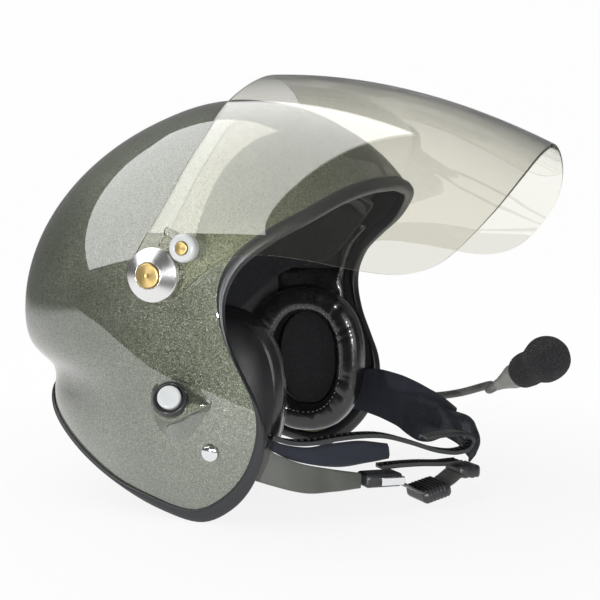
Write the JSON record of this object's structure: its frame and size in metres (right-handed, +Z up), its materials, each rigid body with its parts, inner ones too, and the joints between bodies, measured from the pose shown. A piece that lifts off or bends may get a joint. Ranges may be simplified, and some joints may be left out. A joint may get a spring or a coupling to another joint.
{
  "type": "open face flying helmet",
  "caption": "Open-face powered-flight helmet with raised clear visor, turn-knob pivots, ear cups, boom microphone, push-to-talk switch and ratchet chin strap.",
  "frame": {"origin": "middle of the head cavity, where the shell's own axes cross; the wearer's head holds the helmet there", "axes": "+Z up, -Y the way the wearer faces, +X the wearer's left"},
  "size_m": [0.291, 0.3379, 0.2577],
  "materials": {
    "shell_paint": "glossy clear-coated metallic pewter-green with fine flake",
    "edge_rubber": "satin black moulded rubber",
    "liner_foam": "dark bead foam",
    "lining_fabric": "black knitted lining with loop pile",
    "cup_plastic": "fine-textured black plastic",
    "seal_leather": "soft black stitched leather, glossy",
    "foam_fabric": "open-cell black foam",
    "visor_clear": "clear polycarbonate with a faint warm tint",
    "knob_aluminium": "turned bright aluminium",
    "cap_brass": "spun pale brass",
    "hardware_plastic": "moulded black plastic",
    "bolt_steel": "plain zinc-plated steel",
    "lock_white": "glossy white plastic",
    "rivet_chrome": "polished domed metal",
    "strap_webbing": "dark grey woven webbing, a little shiny",
    "strap_band": "navy-black woven band",
    "ratchet_plastic": "flexible black toothed strip",
    "boom_rubber": "matt grey sleeved boom",
    "mic_plastic": "grey translucent plastic"
  },
  "bodies": {
    "root": {"shell": "shell_paint", "edge_trim": "edge_rubber", "foam_liner": "liner_foam", "comfort_lining": "lining_fabric", "cheek_panel_right": "seal_leather", "cheek_panel_left": "seal_leather", "brow_pad": "lining_fabric", "nape_pad": "lining_fabric", "ear_cup_right": "cup_plastic", "ear_seal_right": "seal_leather", "ear_foam_right": "foam_fabric", "speaker_right": "cup_plastic", "cup_mount_right": "cup_plastic", "ear_cup_left": "cup_plastic", "ear_seal_left": "seal_leather", "ear_foam_left": "foam_fabric", "speaker_left": "cup_plastic", "cup_mount_left": "cup_plastic", "pivot_bush_right": "hardware_plastic", "pivot_bolt_right": "bolt_steel", "lock_stud_right": "bolt_steel", "pivot_bush_left": "hardware_plastic", "pivot_bolt_left": "bolt_steel", "lock_stud_left": "bolt_steel", "switch_ring": "hardware_plastic", "switch_body": "hardware_plastic", "strap_rivet_right": "rivet_chrome", "rivet_washer_right": "bolt_steel", "strap_rivet_left": "rivet_chrome", "rivet_washer_left": "bolt_steel"},
    "visor_sheet": {"visor": "visor_clear"},
    "chin_strap": {"strap_right": "strap_webbing", "strap_left": "strap_band", "strap_sleeve": "strap_band", "strap_link": "strap_webbing", "strap_lower": "strap_webbing", "ratchet_strap": "ratchet_plastic", "ratchet_strip": "ratchet_plastic", "buckle_body": "hardware_plastic", "strap_slider": "hardware_plastic", "strap_end": "hardware_plastic"},
    "strap_lever": {"buckle_lever": "rivet_chrome"},
    "boom": {"boom_pivot": "hardware_plastic", "mic_boom": "boom_rubber", "mic_housing": "mic_plastic", "mic_windscreen": "foam_fabric"},
    "talk_button": {"switch_button": "lock_white"},
    "pivot_grip_right": {"pivot_knob_right": "knob_aluminium", "pivot_cap_right": "cap_brass"},
    "lock_grip_right": {"lock_knob_right": "lock_white", "lock_cap_right": "cap_brass"},
    "pivot_grip_left": {"pivot_knob_left": "knob_aluminium", "pivot_cap_left": "cap_brass"},
    "lock_grip_left": {"lock_knob_left": "lock_white", "lock_cap_left": "cap_brass"}
  },
  "joints": [
    {"name": "visor_hinge", "type": "hinge", "parent": "root", "child": "visor_sheet", "pos_m": [0, 0.0015, 0.0133], "axis": [1, 0, 0], "range_deg": [-10, 31]},
    {"name": "pivot_grip_turn_right", "type": "hinge", "parent": "root", "child": "pivot_grip_right", "pos_m": [-0.1405, 0.0015, 0.0133], "axis": [1, 0, 0], "range_deg": [-90, 90]},
    {"name": "lock_grip_turn_right", "type": "hinge", "parent": "root", "child": "lock_grip_right", "pos_m": [-0.1398, -0.01754, 0.02791], "axis": [1, 0, 0], "range_deg": [-90, 90]},
    {"name": "pivot_grip_turn_left", "type": "hinge", "parent": "root", "child": "pivot_grip_left", "pos_m": [0.1405, 0.0015, 0.0133], "axis": [1, 0, 0], "range_deg": [-90, 90]},
    {"name": "lock_grip_turn_left", "type": "hinge", "parent": "root", "child": "lock_grip_left", "pos_m": [0.1398, -0.01754, 0.02791], "axis": [1, 0, 0], "range_deg": [-90, 90]},
    {"name": "talk_button_press", "type": "slide", "parent": "root", "child": "talk_button", "axis": [0.8814, 0.2504, -0.4006], "range_m": [0, 0.002], "stiffness_N_per_m": 500, "springref_m": -0.001},
    {"name": "boom_swivel", "type": "hinge", "parent": "root", "child": "boom", "pos_m": [0.12, -0.03173, -0.0977], "axis": [0.9657, -0.0795, -0.2472], "range_deg": [-5, 45]},
    {"name": "chin_strap_swing", "type": "hinge", "parent": "root", "child": "chin_strap", "pos_m": [0, -0.02406, -0.0863], "axis": [1, 0, 0], "range_deg": [-4, 12]},
    {"name": "strap_lever_lift", "type": "hinge", "parent": "chin_strap", "child": "strap_lever", "pos_m": [-0.06532, -0.10503, -0.10635], "axis": [0, 0, -1], "range_deg": [0, 35], "stiffness_Nm_per_rad": 0.05, "springref_deg": -5.73}
  ]
}
